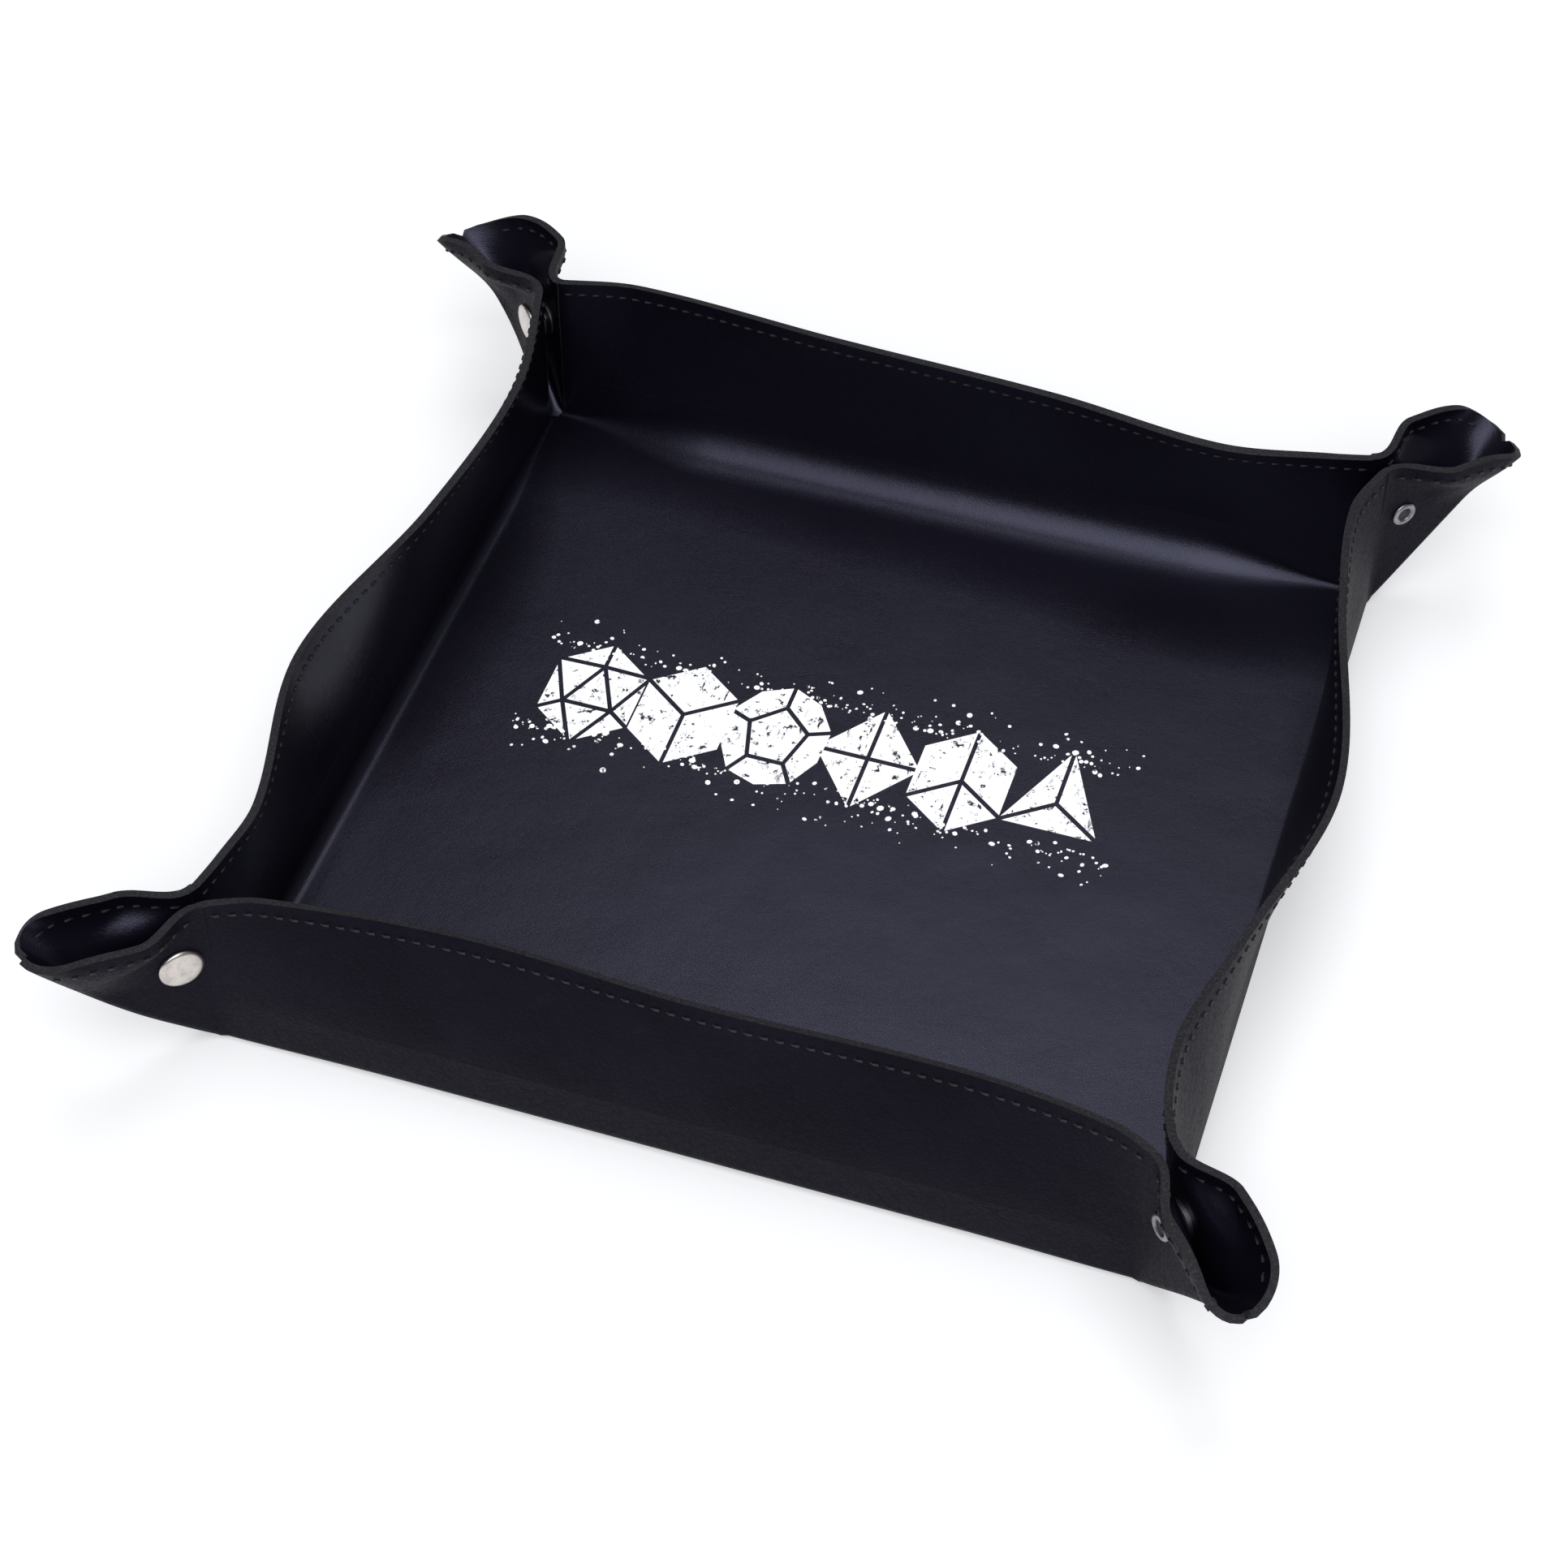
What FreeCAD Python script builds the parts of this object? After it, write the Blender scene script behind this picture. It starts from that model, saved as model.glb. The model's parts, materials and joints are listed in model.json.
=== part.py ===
"""Folding dice tray: one bonded two-layer sheet with four snap-up corners.

The tray is drawn snapped upright. Lengths are in millimetres and +Z is up. The floor is a square,
the four walls fold about its edges, and each corner square of the sheet is folded in half along
its diagonal into an ear made of two flaps. One snap fastener holds the two flaps of each ear.
"""
import FreeCAD
import Part

import math
import os

# Sheet
FLOOR = 206.0
WALL_REACH = 42.0
OUTER_T = 0.9
LINER_T = 0.9
CORNER_R = 8.0

# Clearances where the one real sheet is divided at its folds
FOLD_GAP = 0.4
FLOOR_EDGE_GAP = 0.3
WALL_END_GAP = 1.0
FLAP_START = 1.6
CREASE_GAP = 0.28

# Ear and snap position
EAR_HALF_GAP = 1.4
SNAP_OUT = 5.5
SNAP_UP = 28.0

# Snap fastener
CAP_R = 5.0
CAP_RIM = 0.5
CAP_DOME = 1.0
POST_R = 1.5
SOCKET_R = 4.3
SOCKET_BORE_R = 2.5
SOCKET_LIP_R = 2.25
SOCKET_LOW = 0.1
SOCKET_ROOF = 0.3
STUD_FLANGE_R = 4.3
STUD_FLANGE_T = 0.5
STUD_NECK_R = 1.7
STUD_HEAD_R = 2.05
STUD_TOP = 0.75
EYELET_R = 4.0
EYELET_T = 0.7
EYELET_TUBE_R = 1.65
EYELET_HOLE_R = 1.3
LEATHER_HOLE_R = 1.7
ROOF_CLEAR = 0.02

# Perimeter stitching
SEAM_IN = 3.0
SEAM_W = 0.6
SEAM_PROUD = 0.15
SEAM_END = 1.5

SHEET_T = OUTER_T + LINER_T
TOP_Z = SHEET_T + WALL_REACH
HALF = FLOOR / 2.0
FLAP_AXIS_BACK = EAR_HALF_GAP * math.sqrt(2.0)
SKEW = FLAP_AXIS_BACK - EAR_HALF_GAP

WALLS = ["front", "right", "back", "left"]
Z_AXIS = FreeCAD.Vector(0, 0, 1)


def export(shape, node):
    """Write one node as a STEP file."""
    shape.exportStep("parts/" + node + ".step")


def box_between(low, high):
    """Return a box from its low corner to its high corner."""
    size = [b - a for a, b in zip(low, high)]
    return Part.makeBox(size[0], size[1], size[2], FreeCAD.Vector(*low))


def turned(shape, quarter):
    """Return the shape turned by a number of quarter turns about the tray's middle."""
    copy = shape.copy()
    copy.rotate(FreeCAD.Vector(0, 0, 0), Z_AXIS, 90.0 * quarter)
    return copy


def at_corner(shape, quarter):
    """Place a shape drawn in ear axes: X out along the ear, Y across it, Z up."""
    copy = shape.copy()
    copy.rotate(FreeCAD.Vector(0, 0, 0), Z_AXIS, -45.0)
    copy.translate(FreeCAD.Vector(HALF, -HALF, 0))
    return turned(copy, quarter)


def mirrored(shape):
    """Return an ear shape mirrored to the other side of the ear."""
    return shape.mirror(FreeCAD.Vector(0, 0, 0), FreeCAD.Vector(0, 1, 0))


def disc(radius, low, high):
    """Return a cylinder across the ear at the snap's centre, between two Y values."""
    centre = FreeCAD.Vector(SNAP_OUT, low, SNAP_UP)
    return Part.makeCylinder(radius, high - low, centre, FreeCAD.Vector(0, 1, 0))


def spun(profile):
    """Return the solid of a closed (radius, y) profile turned about the snap's axis."""
    points = [FreeCAD.Vector(SNAP_OUT + r, y, SNAP_UP) for r, y in profile]
    points.append(points[0])
    face = Part.Face(Part.makePolygon(points))
    centre = FreeCAD.Vector(SNAP_OUT, 0, SNAP_UP)
    return face.revolve(centre, FreeCAD.Vector(0, 1, 0), 360)


def floor_layer(low, high):
    """Return one layer of the floor between two heights."""
    edge = HALF - FLOOR_EDGE_GAP
    return box_between([-edge, -edge, low], [edge, edge, high])


def wall_layer(inner, outer):
    """Return one layer of the front wall, from its inner to its outer distance."""
    end = HALF - FLAP_AXIS_BACK - WALL_END_GAP
    low = [-end, -HALF - outer, SHEET_T + FOLD_GAP]
    high = [end, -HALF - inner, TOP_Z]
    return box_between(low, high)


def flap_face():
    """Return the flap's outline as a face in the ear's XZ plane, with the rounded sheet corner."""
    centre = WALL_REACH - CORNER_R
    turn = math.asin(CREASE_GAP / (CORNER_R * math.sqrt(2.0)))
    angles = [math.pi / 4 - turn, math.pi / 8, 0.0]
    arc = []
    for angle in angles:
        along = centre + CORNER_R * math.sin(angle) + SKEW
        up = centre + CORNER_R * math.cos(angle) + SHEET_T
        arc.append(FreeCAD.Vector(along, 0, up))
    start = FLAP_START - EAR_HALF_GAP
    crease_z = start - SKEW + CREASE_GAP + SHEET_T
    low = FreeCAD.Vector(start, 0, crease_z + FOLD_GAP)
    low_crease = FreeCAD.Vector(start + FOLD_GAP, 0, crease_z + FOLD_GAP)
    high = FreeCAD.Vector(start, 0, TOP_Z)
    edges = [
        Part.makeLine(low, low_crease),
        Part.makeLine(low_crease, arc[0]),
        Part.Arc(arc[0], arc[1], arc[2]).toShape(),
        Part.makeLine(arc[2], high),
        Part.makeLine(high, low),
    ]
    return Part.Face(Part.Wire(edges))


def flap_layer(inner, outer):
    """Return one layer of a flap on the ear's +Y side, with the snap's hole through it."""
    near = EAR_HALF_GAP + inner
    plate = flap_face().extrude(FreeCAD.Vector(0, outer - inner, 0))
    plate.translate(FreeCAD.Vector(0, near, 0))
    hole = disc(LEATHER_HOLE_R, near - 1.0, near + outer - inner + 1.0)
    return plate.cut(hole)


def cap():
    """Return the domed cap outside the socket flap, with the post that is riveted to the socket."""
    face = EAR_HALF_GAP + SHEET_T
    end = EAR_HALF_GAP - SOCKET_ROOF
    profile = [
        (0.0, end),
        (POST_R, end),
        (POST_R, face),
        (CAP_R, face),
        (CAP_R, face + CAP_RIM),
        (CAP_R * 0.94, face + CAP_RIM + 0.18),
        (CAP_R * 0.75, face + CAP_RIM + 0.34),
        (CAP_R * 0.45, face + CAP_DOME - 0.06),
        (0.0, face + CAP_DOME),
    ]
    return spun(profile)


def socket():
    """Return the socket ring on the inner face of the cap's flap."""
    top = EAR_HALF_GAP
    roof = top - SOCKET_ROOF
    profile = [
        (POST_R + ROOF_CLEAR, top),
        (SOCKET_R, top),
        (SOCKET_R, SOCKET_LOW + 0.3),
        (SOCKET_R - 0.3, SOCKET_LOW),
        (SOCKET_LIP_R + 0.15, SOCKET_LOW),
        (SOCKET_LIP_R, SOCKET_LOW + 0.15),
        (SOCKET_BORE_R, SOCKET_LOW + 0.45),
        (SOCKET_BORE_R, roof),
        (POST_R + ROOF_CLEAR, roof),
    ]
    return spun(profile)


def stud():
    """Return the stud on the inner face of the eyelet's flap."""
    base = -EAR_HALF_GAP
    flange = base + STUD_FLANGE_T
    profile = [
        (0.0, base),
        (STUD_FLANGE_R, base),
        (STUD_FLANGE_R, flange - 0.2),
        (STUD_FLANGE_R - 0.2, flange),
        (STUD_NECK_R, flange),
        (STUD_NECK_R, flange + 0.9),
        (STUD_HEAD_R, STUD_TOP - 0.45),
        (STUD_HEAD_R - 0.25, STUD_TOP - 0.12),
        (STUD_HEAD_R - 0.8, STUD_TOP),
        (0.0, STUD_TOP),
    ]
    return spun(profile)


def eyelet():
    """Return the ring-shaped back of the stud outside its flap, with its tube through the sheet."""
    face = -EAR_HALF_GAP - SHEET_T
    low = face - EYELET_T
    profile = [
        (EYELET_HOLE_R, -EAR_HALF_GAP),
        (EYELET_TUBE_R, -EAR_HALF_GAP),
        (EYELET_TUBE_R, face),
        (EYELET_R, face),
        (EYELET_R, face - 0.25),
        (EYELET_R - 0.6, low + 0.08),
        (EYELET_R - 1.2, low),
        (EYELET_HOLE_R + 0.6, low),
        (EYELET_HOLE_R, low + 0.4),
    ]
    return spun(profile)


def wall_seam():
    """Return the front wall's stitch line, a strip on each face near the top edge."""
    end = HALF - FLAP_AXIS_BACK - WALL_END_GAP - SEAM_END
    top = TOP_Z - SEAM_IN
    low = top - SEAM_W
    outside = box_between([-end, -HALF - SHEET_T - SEAM_PROUD, low], [end, -HALF - SHEET_T, top])
    inside = box_between([-end, -HALF, low], [end, -HALF + SEAM_PROUD, top])
    return Part.makeCompound([outside, inside])


def flap_seam():
    """Return a +Y flap's stitch line, a strip on each face near the top edge."""
    start = FLAP_START - EAR_HALF_GAP + SEAM_END
    end = WALL_REACH - CORNER_R + SKEW
    top = TOP_Z - SEAM_IN
    low = top - SEAM_W
    inner = EAR_HALF_GAP
    outer = EAR_HALF_GAP + SHEET_T
    inside = box_between([start, inner - SEAM_PROUD, low], [end, inner, top])
    outside = box_between([start, outer, low], [end, outer + SEAM_PROUD, top])
    return Part.makeCompound([outside, inside])


def export_floor():
    """Write the floor's two layers."""
    export(floor_layer(0.0, OUTER_T), "base_outer")
    export(floor_layer(OUTER_T, SHEET_T), "base_liner")


def export_walls():
    """Write each wall's two layers and its stitch line."""
    liner = wall_layer(0.0, LINER_T)
    outer = wall_layer(LINER_T, SHEET_T)
    seam = wall_seam()
    for quarter, wall in enumerate(WALLS):
        export(turned(outer, quarter), "wall_" + wall + "_outer")
        export(turned(liner, quarter), "wall_" + wall + "_liner")
        export(turned(seam, quarter), "thread_wall_" + wall)


def export_flaps():
    """Write both flaps of each ear: the stud flap ends one wall, the cap flap starts the next."""
    liner = flap_layer(0.0, LINER_T)
    outer = flap_layer(LINER_T, SHEET_T)
    seam = flap_seam()
    for quarter, wall in enumerate(WALLS):
        after = WALLS[(quarter + 1) % 4]
        export(at_corner(outer, quarter), "flap_" + after + "_cap_outer")
        export(at_corner(liner, quarter), "flap_" + after + "_cap_liner")
        export(at_corner(seam, quarter), "thread_flap_" + after + "_cap")
        export(at_corner(mirrored(outer), quarter), "flap_" + wall + "_stud_outer")
        export(at_corner(mirrored(liner), quarter), "flap_" + wall + "_stud_liner")
        export(at_corner(mirrored(seam), quarter), "thread_flap_" + wall + "_stud")


def export_snaps():
    """Write the four pieces of each ear's snap."""
    pieces = {"cap": cap(), "socket": socket(), "stud": stud(), "eyelet": eyelet()}
    corners = ["front_right", "back_right", "back_left", "front_left"]
    for quarter, corner in enumerate(corners):
        for name, shape in pieces.items():
            export(at_corner(shape, quarter), "snap_" + corner + "_" + name)


def main():
    """Write every node of the tray."""
    os.makedirs("parts", exist_ok=True)
    export_floor()
    export_walls()
    export_flaps()
    export_snaps()


main()
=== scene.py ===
"""Snap-up dice tray in soft leatherette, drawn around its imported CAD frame.

The tray is one bonded sheet: a pebbled outer layer and a satin liner. It is drawn as a floor,
four walls and eight ear flaps, each in two layers, with snaps, stitches and a worn floor print.
"""
import json
import logging
import math
import random
from dataclasses import dataclass, field
from enum import Enum
from typing import Callable, Optional, Sequence

import bpy
from mathutils import Matrix, Vector


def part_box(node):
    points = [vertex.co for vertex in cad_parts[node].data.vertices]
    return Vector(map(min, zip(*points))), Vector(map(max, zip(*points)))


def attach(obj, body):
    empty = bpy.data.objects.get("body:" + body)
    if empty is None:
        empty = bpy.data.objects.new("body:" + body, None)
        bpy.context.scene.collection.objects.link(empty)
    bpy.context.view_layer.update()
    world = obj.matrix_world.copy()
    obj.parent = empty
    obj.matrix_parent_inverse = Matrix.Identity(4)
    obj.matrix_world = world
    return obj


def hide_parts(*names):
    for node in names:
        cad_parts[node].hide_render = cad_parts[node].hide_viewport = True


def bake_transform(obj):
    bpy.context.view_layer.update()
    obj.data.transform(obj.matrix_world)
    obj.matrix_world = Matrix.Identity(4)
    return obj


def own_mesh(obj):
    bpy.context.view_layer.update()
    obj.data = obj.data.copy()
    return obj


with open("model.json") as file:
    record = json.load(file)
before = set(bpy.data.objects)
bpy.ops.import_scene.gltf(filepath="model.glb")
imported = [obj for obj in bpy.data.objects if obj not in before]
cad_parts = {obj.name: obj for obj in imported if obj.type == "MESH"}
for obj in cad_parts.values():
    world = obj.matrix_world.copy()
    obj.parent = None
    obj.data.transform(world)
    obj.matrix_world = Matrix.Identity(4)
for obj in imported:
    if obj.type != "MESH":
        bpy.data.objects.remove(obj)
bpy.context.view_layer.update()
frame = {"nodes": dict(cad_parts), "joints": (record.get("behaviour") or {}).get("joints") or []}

LOG = logging.getLogger("dice_tray")
MM = 0.001
ROOT2 = math.sqrt(2.0)
WALLS = ("front", "right", "back", "left")
CORNERS = ("front_right", "back_right", "back_left", "front_left")


# ---------------------------------------------------------------- shader graph


class Sock:
    """One node socket that takes part in Python arithmetic."""

    def __init__(self, graph: "Graph", socket: bpy.types.NodeSocket) -> None:
        """Wrap a socket of a graph.

        Args:
            graph: the graph that the socket's node is in.
            socket: the socket to wrap.
        """
        self.graph = graph
        self.socket = socket

    def _math(self, operation: str, *values: object) -> "Sock":
        """Add one Math node for an operation on the given values."""
        return self.graph.add("ShaderNodeMath", {"operation": operation}, dict(enumerate(values)))

    def __add__(self, other: object) -> "Sock":
        """Return self + other."""
        return self._math("ADD", self, other)

    def __radd__(self, other: object) -> "Sock":
        """Return other + self."""
        return self._math("ADD", other, self)

    def __sub__(self, other: object) -> "Sock":
        """Return self - other."""
        return self._math("SUBTRACT", self, other)

    def __rsub__(self, other: object) -> "Sock":
        """Return other - self."""
        return self._math("SUBTRACT", other, self)

    def __mul__(self, other: object) -> "Sock":
        """Return self * other."""
        return self._math("MULTIPLY", self, other)

    def __rmul__(self, other: object) -> "Sock":
        """Return other * self."""
        return self._math("MULTIPLY", other, self)

    def __truediv__(self, other: object) -> "Sock":
        """Return self / other."""
        return self._math("DIVIDE", self, other)

    def step(self, low: float, high: float) -> "Sock":
        """Return a smooth 0 to 1 step between two values of self."""
        settings = {"interpolation_type": "SMOOTHSTEP"}
        values = {"Value": self, "From Min": low, "From Max": high}
        return self.graph.add("ShaderNodeMapRange", settings, values)


class Graph:
    """A node material under construction."""

    def __init__(self, name: str) -> None:
        """Start an empty material with an output node.

        Args:
            name: the material's name.
        """
        self.material = bpy.data.materials.new(name)
        self.material.use_nodes = True
        self.tree = self.material.node_tree
        self.tree.nodes.clear()
        self.output = self.tree.nodes.new("ShaderNodeOutputMaterial")

    def add(self, kind: str, settings: Optional[dict] = None, values: Optional[dict] = None,
            out: object = 0) -> Sock:
        """Add a node.

        Args:
            kind: The node's type name.
            settings: Attributes to set first; "stops" fills a colour ramp.
            values: Input sockets by name or index, each a Sock or a plain value.
            out: The output socket to return, by name or index.

        Returns:
            The chosen output socket.
        """
        node = self.tree.nodes.new(kind)
        for key, value in (settings or {}).items():
            if key == "stops":
                self._fill_ramp(node, value)
            else:
                setattr(node, key, value)
        for key, value in (values or {}).items():
            if isinstance(value, Sock):
                self.tree.links.new(value.socket, node.inputs[key])
            else:
                node.inputs[key].default_value = value
        return Sock(self, node.outputs[out])

    def _fill_ramp(self, node: bpy.types.Node, stops: Sequence) -> None:
        """Give a colour ramp its (position, colour) stops.

        Args:
            node: the ramp node.
            stops: the (position, colour) pairs.
        """
        elements = node.color_ramp.elements
        while len(elements) < len(stops):
            elements.new(0.5)
        for element, (position, colour) in zip(elements, stops):
            element.position = position
            element.color = (*colour, 1.0)

    def mix(self, factor: Sock, first: Sequence, second: Sequence) -> Sock:
        """Return a colour mixed between two colours or colour sockets by a factor."""
        a = first if isinstance(first, Sock) else (*first, 1.0)
        b = second if isinstance(second, Sock) else (*second, 1.0)
        values = {0: factor, 6: a, 7: b}
        return self.add("ShaderNodeMix", {"data_type": "RGBA"}, values, out=2)

    def flat_place(self) -> Sock:
        """Return the place on the flat sheet in metres, from the piece's own map."""
        return self.add("ShaderNodeUVMap", {"uv_map": "sheet"})

    def object_place(self) -> Sock:
        """Return the place on the object in metres."""
        return self.add("ShaderNodeTexCoord", out="Object")

    def noise(self, place: Sock, scale: float, detail: float = 3.0, rough: float = 0.55) -> Sock:
        """Return a noise value of about 0 to 1 over a place."""
        values = {"Vector": place, "Scale": scale, "Detail": detail, "Roughness": rough}
        return self.add("ShaderNodeTexNoise", None, values)

    def cells(self, place: Sock, scale: float, feature: str = "F1") -> Sock:
        """Return the distance to the nearest cell point or edge over a place."""
        values = {"Vector": place, "Scale": scale}
        return self.add("ShaderNodeTexVoronoi", {"feature": feature}, values)

    def bump(self, height: Sock, distance: float, strength: float = 1.0,
             under: Optional[Sock] = None) -> Sock:
        """Return a normal bumped by a height, over another bumped normal if one is given.

        Args:
            height: the value that rises.
            distance: how far a height of one rises, in metres.
            strength: how much of the bump shows.
            under: another bumped normal.

        Returns:
            The Bump node's normal.
        """
        values = {"Height": height, "Distance": distance, "Strength": strength}
        if under is not None:
            values["Normal"] = under
        return self.add("ShaderNodeBump", None, values)

    def surface(self, values: dict) -> bpy.types.Material:
        """Finish the material with one principled shader and return it."""
        shader = self.add("ShaderNodeBsdfPrincipled", None, values)
        self.tree.links.new(shader.socket, self.output.inputs["Surface"])
        return self.material


# ---------------------------------------------------------------- finishes


@dataclass(frozen=True)
class PebbledLeatherette:
    """The outer face: near-black, matt, with a fine raised pebble."""

    dark: tuple = (0.0034, 0.0029, 0.0060)
    worn: tuple = (0.0088, 0.0078, 0.0142)
    sheen: tuple = (0.74, 0.72, 1.0, 1.0)
    pebbles_per_m: float = 1250.0
    roughness: float = 0.52
    gloss: float = 0.08

    def material(self) -> bpy.types.Material:
        """Build the material."""
        g = Graph("pebbled_leatherette")
        place = g.flat_place()
        warp = g.noise(place, 240.0, 2.0)
        pebble = g.cells(place, self.pebbles_per_m, "SMOOTH_F1")
        valley = g.cells(place, self.pebbles_per_m * 0.55, "DISTANCE_TO_EDGE").step(0.0, 0.16)
        cloud = g.noise(place, 26.0, 4.0)
        scuff = g.noise(place, 120.0, 5.0, 0.7).step(0.52, 0.78)
        tint = cloud.step(0.30, 0.72) * 0.6 + scuff * 0.4
        height = (1.0 - pebble) * 0.7 + valley * 0.35 + warp * 0.25
        fine = g.bump(height, 0.00016, 0.6)
        soft = g.bump(cloud, 0.0022, 0.5, fine)
        return g.surface({
            "Base Color": g.mix(tint, self.dark, self.worn),
            "Roughness": self.roughness + (cloud - 0.5) * 0.16 + (1.0 - valley) * 0.10,
            "Normal": soft,
            "Specular IOR Level": self.gloss,
            "Specular Tint": self.sheen,
        })


@dataclass(frozen=True)
class SatinLiner:
    """The inner face: smooth satin black with a soft cloudy sheen."""

    dark: tuple = (0.0034, 0.0024, 0.0056)
    pale: tuple = (0.0060, 0.0056, 0.0104)
    sheen: tuple = (0.70, 0.70, 1.0, 1.0)
    roughness: float = 0.285

    def material(self) -> bpy.types.Material:
        """Build the material."""
        g = Graph("satin_liner")
        place = g.flat_place()
        cloud = g.noise(place, 11.0, 3.0)
        smear = g.noise(place, 48.0, 4.0, 0.6)
        grain = g.noise(place, 2300.0, 2.0)
        pores = g.cells(place, 1500.0, "DISTANCE_TO_EDGE").step(0.0, 0.12)
        speck = g.noise(place, 700.0, 2.0, 0.7).step(0.66, 0.78)
        soft = g.bump(cloud * 0.8 + smear * 0.2, 0.0024, 0.3)
        fine = g.bump(grain * 0.5 + pores * 0.5, 0.00005, 0.35, soft)
        tint = cloud.step(0.32, 0.70) * 0.8 + speck * 0.25
        return g.surface({
            "Base Color": g.mix(tint, self.dark, self.pale),
            "Roughness": self.roughness + (smear - 0.5) * 0.08 + (cloud - 0.5) * 0.06,
            "Normal": fine,
            "Specular Tint": self.sheen,
        })


@dataclass(frozen=True)
class CutEdge:
    """The cut edge of a layer: fibrous backing, a little paler and rough."""

    dark: tuple = (0.006, 0.005, 0.008)
    pale: tuple = (0.030, 0.027, 0.034)

    def material(self) -> bpy.types.Material:
        """Build the material."""
        g = Graph("cut_edge")
        place = g.object_place()
        fibre = g.noise(place, 1600.0, 4.0, 0.7)
        lump = g.noise(place, 260.0, 3.0)
        return g.surface({
            "Base Color": g.mix(fibre.step(0.42, 0.70), self.dark, self.pale),
            "Roughness": 0.78 + (lump - 0.5) * 0.2,
            "Normal": g.bump(fibre + lump * 0.5, 0.00025, 0.8),
        })


@dataclass(frozen=True)
class SnapMetal:
    """A plated snap part, tarnished and scratched by fine noise."""

    name: str
    bright: tuple
    dull: tuple
    roughness: float

    def material(self) -> bpy.types.Material:
        """Build the material."""
        g = Graph(self.name)
        place = g.object_place()
        tarnish = g.noise(place, 420.0, 4.0, 0.6)
        scratch = g.noise(place, 5200.0, 2.0, 0.6)
        return g.surface({
            "Base Color": g.mix(tarnish.step(0.38, 0.72), self.bright, self.dull),
            "Metallic": 1.0,
            "Roughness": self.roughness + (tarnish - 0.5) * 0.18 + (scratch - 0.5) * 0.08,
            "Normal": g.bump(scratch, 0.00002, 0.35),
        })


@dataclass(frozen=True)
class WaxedThread:
    """Black polyester thread with a fine twist."""

    dark: tuple = (0.008, 0.008, 0.010)
    pale: tuple = (0.040, 0.038, 0.044)

    def material(self) -> bpy.types.Material:
        """Build the material."""
        g = Graph("waxed_thread")
        place = g.object_place()
        values = {"Vector": place, "Scale": 2600.0, "Distortion": 2.0, "Detail": 1.0}
        twist = g.add("ShaderNodeTexWave", {"bands_direction": "DIAGONAL"}, values, out="Fac")
        return g.surface({
            "Base Color": g.mix(twist, self.dark, self.pale),
            "Roughness": 0.55 + twist * 0.15,
            "Normal": g.bump(twist, 0.00012, 0.7),
        })


@dataclass(frozen=True)
class WornInk:
    """White screen ink, chipped and scratched so that the liner shows through, with a faint
    painted glow that makes it read whiter than its lighting.
    """

    ink: tuple = (0.94, 0.94, 0.95)
    stained: tuple = (0.80, 0.80, 0.82)
    # glow: the ink emits a little light of its own, painted brightening though it is no lamp
    glow: float = 0.30

    def material(self) -> bpy.types.Material:
        """Build the material."""
        g = Graph("worn_ink")
        place = g.object_place()
        chips = g.noise(place, 420.0, 6.0, 0.75).step(0.585, 0.600)
        values = {"Location": (0.0, 0.0, 0.0), "Scale": (1.0, 0.22, 1.0), "Vector": place}
        drawn = g.add("ShaderNodeMapping", None, values)
        streak = g.noise(drawn, 700.0, 5.0, 0.7).step(0.625, 0.640)
        patch = g.noise(place, 60.0, 3.0)
        kept = (1.0 - chips) * (1.0 - streak * patch.step(0.42, 0.56))
        return g.surface({
            "Base Color": g.mix(patch.step(0.35, 0.8), self.ink, self.stained),
            "Roughness": 0.5 + (patch - 0.5) * 0.2,
            "Alpha": kept,
            "Normal": g.bump(kept, 0.00003, 0.6),
            # painted light: white emission makes the ink brighter than the lamps alone would
            "Emission Color": (1.0, 1.0, 1.0, 1.0),
            "Emission Strength": self.glow,
        })


@dataclass(frozen=True)
class PaleFloor:
    """The plain pale surface that the tray stands on."""

    tone: float = 0.86
    glow: float = 0.34

    def material(self) -> bpy.types.Material:
        """Build the material."""
        g = Graph("pale_floor")
        mottle = g.noise(g.object_place(), 9.0, 2.0)
        high = (self.tone,) * 3
        low = (self.tone - 0.02,) * 3
        return g.surface({
            "Base Color": g.mix(mottle, high, low),
            "Roughness": 0.8,
            "Specular IOR Level": 0.1,
            "Emission Color": (1.0, 1.0, 1.0, 1.0),
            "Emission Strength": self.glow,
        })


# ---------------------------------------------------------------- mesh helpers


def smooth(value: float) -> float:
    """Return a smooth 0 to 1 step of a value clamped to 0..1."""
    t = min(1.0, max(0.0, value))
    return t * t * (3.0 - 2.0 * t)


def deselect_all() -> None:
    """Leave nothing selected and no object in edit mode."""
    if bpy.context.object is not None and bpy.context.object.mode != "OBJECT":
        bpy.ops.object.mode_set(mode="OBJECT")
    for item in bpy.context.selected_objects:
        item.select_set(False)


def turn_quarters(quarter: int) -> Matrix:
    """Return the turn of a number of quarter turns about the tray's middle."""
    return Matrix.Rotation(math.pi / 2 * quarter, 4, "Z")


def link_mesh(name: str, points: Sequence[Vector], faces: Sequence[tuple],
              flats: Optional[Sequence[tuple]] = None) -> bpy.types.Object:
    """Make an object from points and faces.

    Args:
        name: The piece's name.
        points: The vertices, in the tray's frame.
        faces: Vertex numbers of each face.
        flats: The flat-sheet place of each vertex, for the sheet map.

    Returns:
        The new object, smooth shaded.
    """
    mesh = bpy.data.meshes.new(name)
    mesh.from_pydata([tuple(p) for p in points], [], list(faces))
    if flats is not None:
        layer = mesh.uv_layers.new(name="sheet")
        for loop in mesh.loops:
            layer.data[loop.index].uv = flats[loop.vertex_index]
    mesh.polygons.foreach_set("use_smooth", [True] * len(mesh.polygons))
    mesh.update()
    item = bpy.data.objects.new(name, mesh)
    bpy.context.scene.collection.objects.link(item)
    return item


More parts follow.
